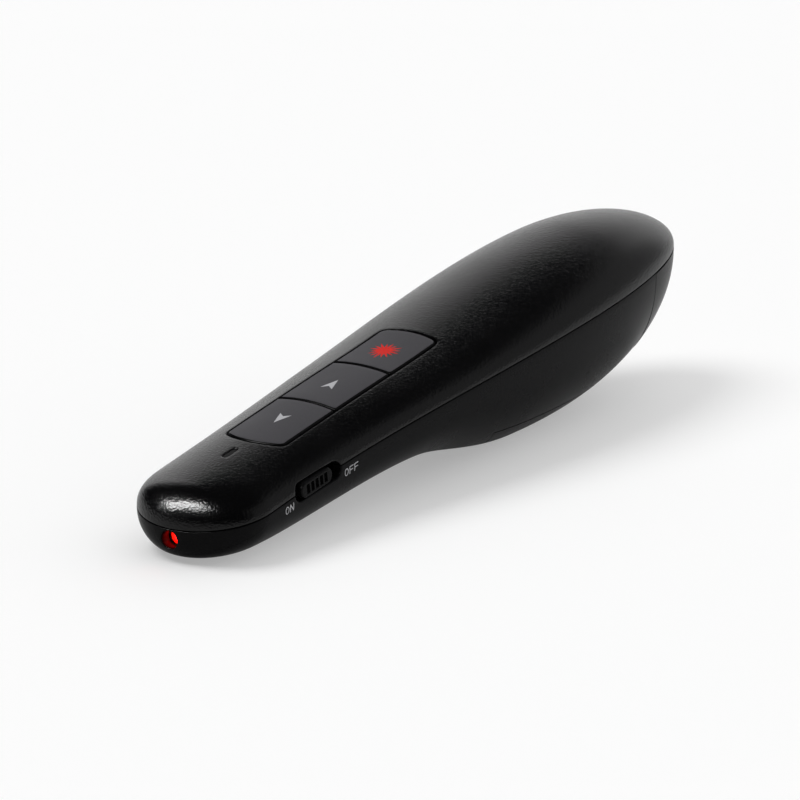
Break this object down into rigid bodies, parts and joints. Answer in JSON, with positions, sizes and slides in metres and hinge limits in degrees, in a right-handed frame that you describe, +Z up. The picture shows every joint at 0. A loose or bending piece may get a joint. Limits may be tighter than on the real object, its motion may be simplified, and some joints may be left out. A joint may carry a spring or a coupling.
{
  "type": "laser pointer",
  "caption": "Handheld presentation remote with a laser in its nose, a panel of press keys, a side power slide, a sliding battery door and a pull-out receiver in its tail.",
  "frame": {"origin": "middle of the bounding box on the floor that the remote rests on", "axes": "+X along the laser beam from tail to nose, +Y to the left side with the power slide, +Z up"},
  "size_m": [0.14, 0.0322, 0.0314],
  "materials": {
    "shell": "satin black moulded plastic with a fine grain",
    "key": "matte dark grey plastic with printed signs",
    "plunger": "cream plastic",
    "component": "black moulded component plastic",
    "circuit_board": "green lacquered board",
    "ceramic": "tan fired ceramic",
    "indicator": "clear cream resin",
    "light_guide": "smoked acrylic",
    "lens": "polished clear lens",
    "steel": "nickel-plated steel",
    "brass": "turned brass",
    "cell": "printed label round a steel can"
  },
  "bodies": {
    "housing": {"top_shell": "shell", "bottom_shell": "shell", "page_down_switch": "component", "page_up_switch": "component", "laser_switch": "component", "controller_chip": "component", "boost_inductor": "component", "lens_retainer": "component", "main_board": "circuit_board", "laser_driver_board": "circuit_board", "filter_capacitor": "ceramic", "status_led": "indicator", "light_pipe": "light_guide", "laser_lens": "lens", "crystal": "steel", "slide_switch_body": "steel", "left_contact": "steel", "right_contact": "steel", "rear_contact": "steel", "front_spring": "steel", "rear_spring": "steel", "front_screw": "steel", "rear_screw": "steel", "laser_barrel": "brass", "laser_diode": "brass", "left_cell": "cell", "right_cell": "cell"},
    "page_down_key": {"page_down_key": "key", "page_down_plunger": "plunger"},
    "page_up_key": {"page_up_key": "key", "page_up_plunger": "plunger"},
    "laser_key": {"laser_key": "key", "laser_plunger": "plunger"},
    "power_switch": {"power_slide": "shell", "slide_switch_lever": "component"},
    "battery_door": {"battery_door": "shell"},
    "usb_receiver": {"receiver_housing": "shell", "receiver_plug": "steel", "receiver_tongue": "component"}
  },
  "joints": [
    {"name": "page_down_press", "type": "slide", "parent": "housing", "child": "page_down_key", "axis": [-0.1513, 0, -0.9885], "range_m": [0, 0.0005], "stiffness_N_per_m": 3000},
    {"name": "page_up_press", "type": "slide", "parent": "housing", "child": "page_up_key", "axis": [-0.1513, 0, -0.9885], "range_m": [0, 0.0005], "stiffness_N_per_m": 3000},
    {"name": "laser_press", "type": "slide", "parent": "housing", "child": "laser_key", "axis": [-0.1513, 0, -0.9885], "range_m": [0, 0.0005], "stiffness_N_per_m": 3000},
    {"name": "power_slide", "type": "slide", "parent": "housing", "child": "power_switch", "axis": [-0.9885, 0, 0.1513], "range_m": [0, 0.0015]},
    {"name": "door_slide", "type": "slide", "parent": "housing", "child": "battery_door", "axis": [-1, 0, 0], "range_m": [0, 0.04]},
    {"name": "receiver_pull", "type": "slide", "parent": "housing", "child": "usb_receiver", "axis": [-1, 0, 0], "range_m": [0, 0.014]}
  ]
}
